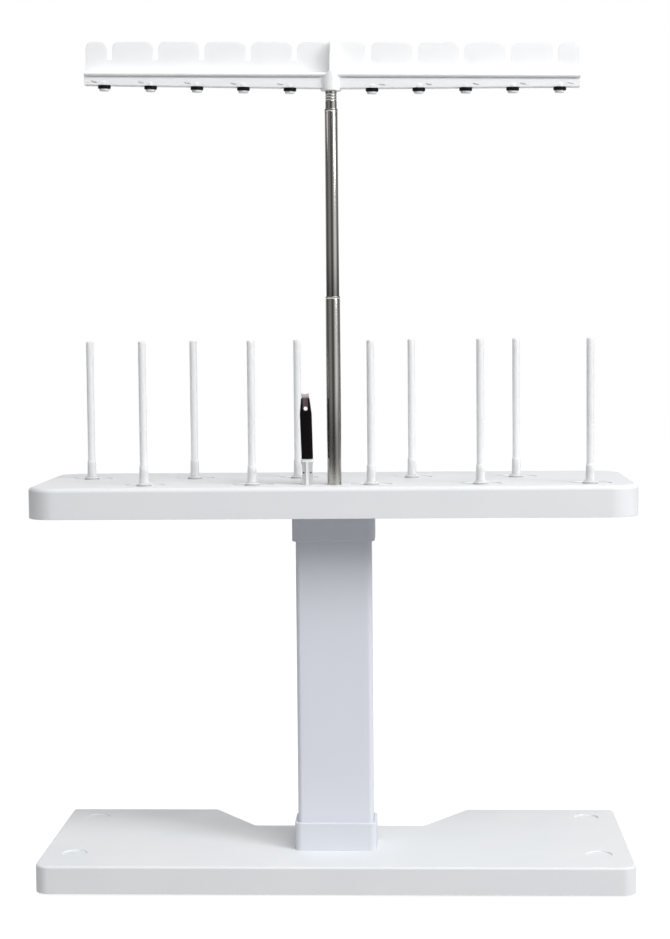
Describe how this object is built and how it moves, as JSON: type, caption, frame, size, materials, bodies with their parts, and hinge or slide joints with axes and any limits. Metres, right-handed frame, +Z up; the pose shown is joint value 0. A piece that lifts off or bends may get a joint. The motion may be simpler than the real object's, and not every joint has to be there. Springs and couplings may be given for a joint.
{
  "type": "thread stand",
  "caption": "Thread spool stand: weighted base with a rear notch, square column, tray of upright spool pins in a zigzag and a telescopic mast carrying a slotted thread guide.",
  "frame": {"origin": "centre of the base's footprint, on the floor", "axes": "+Z up, +X to the right seen from the front, front faces -Y"},
  "size_m": [0.512, 0.196, 0.7107],
  "materials": {
    "shell_white": "satin",
    "column_paint": "satin",
    "plate_steel": "satin",
    "foot_rubber": "matte",
    "screw_steel": "satin",
    "pin_white": "gloss",
    "ring_grey": "matte",
    "plug_black": "matte",
    "mast_chrome": "polished",
    "sleeve_brass": "satin",
    "guide_white": "satin",
    "disc_black": "satin",
    "handle_black": "satin",
    "tongue_steel": "polished"
  },
  "bodies": {
    "stand": {"base_cover": "shell_white", "base_plate": "plate_steel", "rubber_feet": "foot_rubber", "foot_screws": "screw_steel", "base_screws": "screw_steel", "lower_collar": "shell_white", "lower_collar_bolts": "screw_steel", "column_tube": "column_paint", "column_screws": "screw_steel", "upper_collar": "shell_white", "upper_collar_bolts": "screw_steel", "tray_bracket": "plate_steel", "tray_floor": "shell_white", "tray_shell": "shell_white", "tray_screws": "screw_steel", "spool_pin_1": "pin_white", "spool_pin_2": "pin_white", "spool_pin_3": "pin_white", "spool_pin_4": "pin_white", "spool_pin_5": "pin_white", "spool_pin_6": "pin_white", "spool_pin_7": "pin_white", "spool_pin_8": "pin_white", "spool_pin_9": "pin_white", "spool_pin_10": "pin_white", "pin_rings": "ring_grey", "pin_screws": "screw_steel", "mast_clamp": "plate_steel", "clamp_screws": "screw_steel", "mast_set_screw": "screw_steel", "mast_lower_tube": "mast_chrome", "mast_stop_plug": "plug_black", "tool_holder": "shell_white", "holder_screw": "screw_steel"},
    "mast_middle": {"mast_middle_tube": "mast_chrome", "middle_slide_sleeve": "sleeve_brass"},
    "mast_upper": {"mast_upper_tube": "mast_chrome", "upper_slide_sleeve": "sleeve_brass"},
    "guide": {"guide_bar": "guide_white", "guide_screw": "screw_steel", "thread_disc_1": "disc_black", "thread_disc_2": "disc_black", "thread_disc_3": "disc_black", "thread_disc_4": "disc_black", "thread_disc_5": "disc_black", "thread_disc_6": "disc_black", "thread_disc_7": "disc_black", "thread_disc_8": "disc_black", "thread_disc_9": "disc_black", "thread_disc_10": "disc_black", "disc_caps": "guide_white"},
    "hand_tool": {"tool_handle": "handle_black", "tool_tongue": "tongue_steel", "tool_shank": "tongue_steel"}
  },
  "joints": [
    {"name": "middle_slide", "type": "slide", "parent": "stand", "child": "mast_middle", "axis": [0, 0, 1], "range_m": [-0.1505, 0]},
    {"name": "upper_slide", "type": "slide", "parent": "mast_middle", "child": "mast_upper", "axis": [0, 0, 1], "range_m": [-0.0145, 0.1395]},
    {"name": "guide_turn", "type": "hinge", "parent": "mast_upper", "child": "guide", "pos_m": [0.0024, -0.066, 0.68], "axis": [0, 0, 1], "range_deg": [-90, 90]},
    {"name": "tool_lift", "type": "slide", "parent": "stand", "child": "hand_tool", "axis": [0, 0, 1], "range_m": [0, 0.03]}
  ]
}
